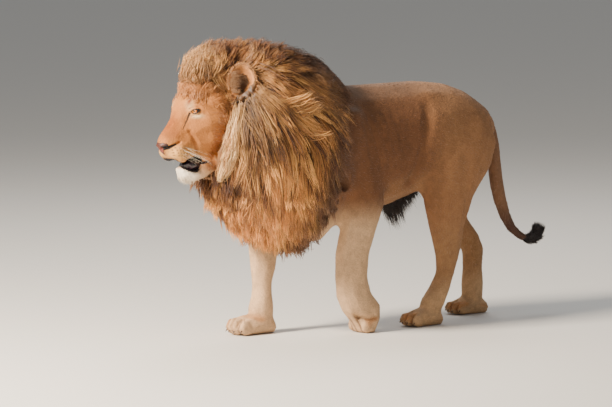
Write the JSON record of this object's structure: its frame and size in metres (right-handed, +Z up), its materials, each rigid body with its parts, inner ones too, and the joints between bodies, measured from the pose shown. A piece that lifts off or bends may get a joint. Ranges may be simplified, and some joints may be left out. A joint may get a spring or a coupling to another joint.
{
  "type": "lion",
  "caption": "Life-size still model of a young adult male lion walking with its head low, with a full golden mane, a short tawny coat and a dark tail tuft",
  "frame": {"origin": "on the floor, under the middle of the whole animal's box", "axes": "+Z up; the lion looks along -X, with its left side on -Y and its tail towards +X"},
  "size_m": [2.0152, 0.54, 1.1902],
  "materials": {
    "coat": "short flat tawny hair, soft sheen",
    "pale_coat": "short pale cream hair",
    "mane": "long golden brown hair in locks",
    "dark_hair": "long dark brown hair",
    "nose": "damp pebbled skin",
    "eye": "wet and glossy, amber iris"
  },
  "bodies": {
    "root": {"belly": "coat", "belly_fringe": "dark_hair", "chest": "coat", "ear_left": "coat", "ear_right": "coat", "eye_left": "eye", "eye_right": "eye", "foot_left": "pale_coat", "foot_right": "pale_coat", "forearm_left": "pale_coat", "forearm_right": "pale_coat", "forepaw_left": "pale_coat", "forepaw_right": "pale_coat", "head": "coat", "lower_jaw": "pale_coat", "mane_cheek_left": "mane", "mane_cheek_right": "mane", "mane_chest": "mane", "mane_crest": "mane", "mane_left": "mane", "mane_right": "mane", "neck": "coat", "nose": "nose", "rump": "coat", "shank_left": "pale_coat", "shank_right": "pale_coat", "tail_end": "coat", "tail_middle": "coat", "tail_root": "coat", "tail_tuft": "dark_hair", "thigh_left": "coat", "thigh_right": "coat", "upper_arm_left": "coat", "upper_arm_right": "coat"}
  },
  "joints": []
}
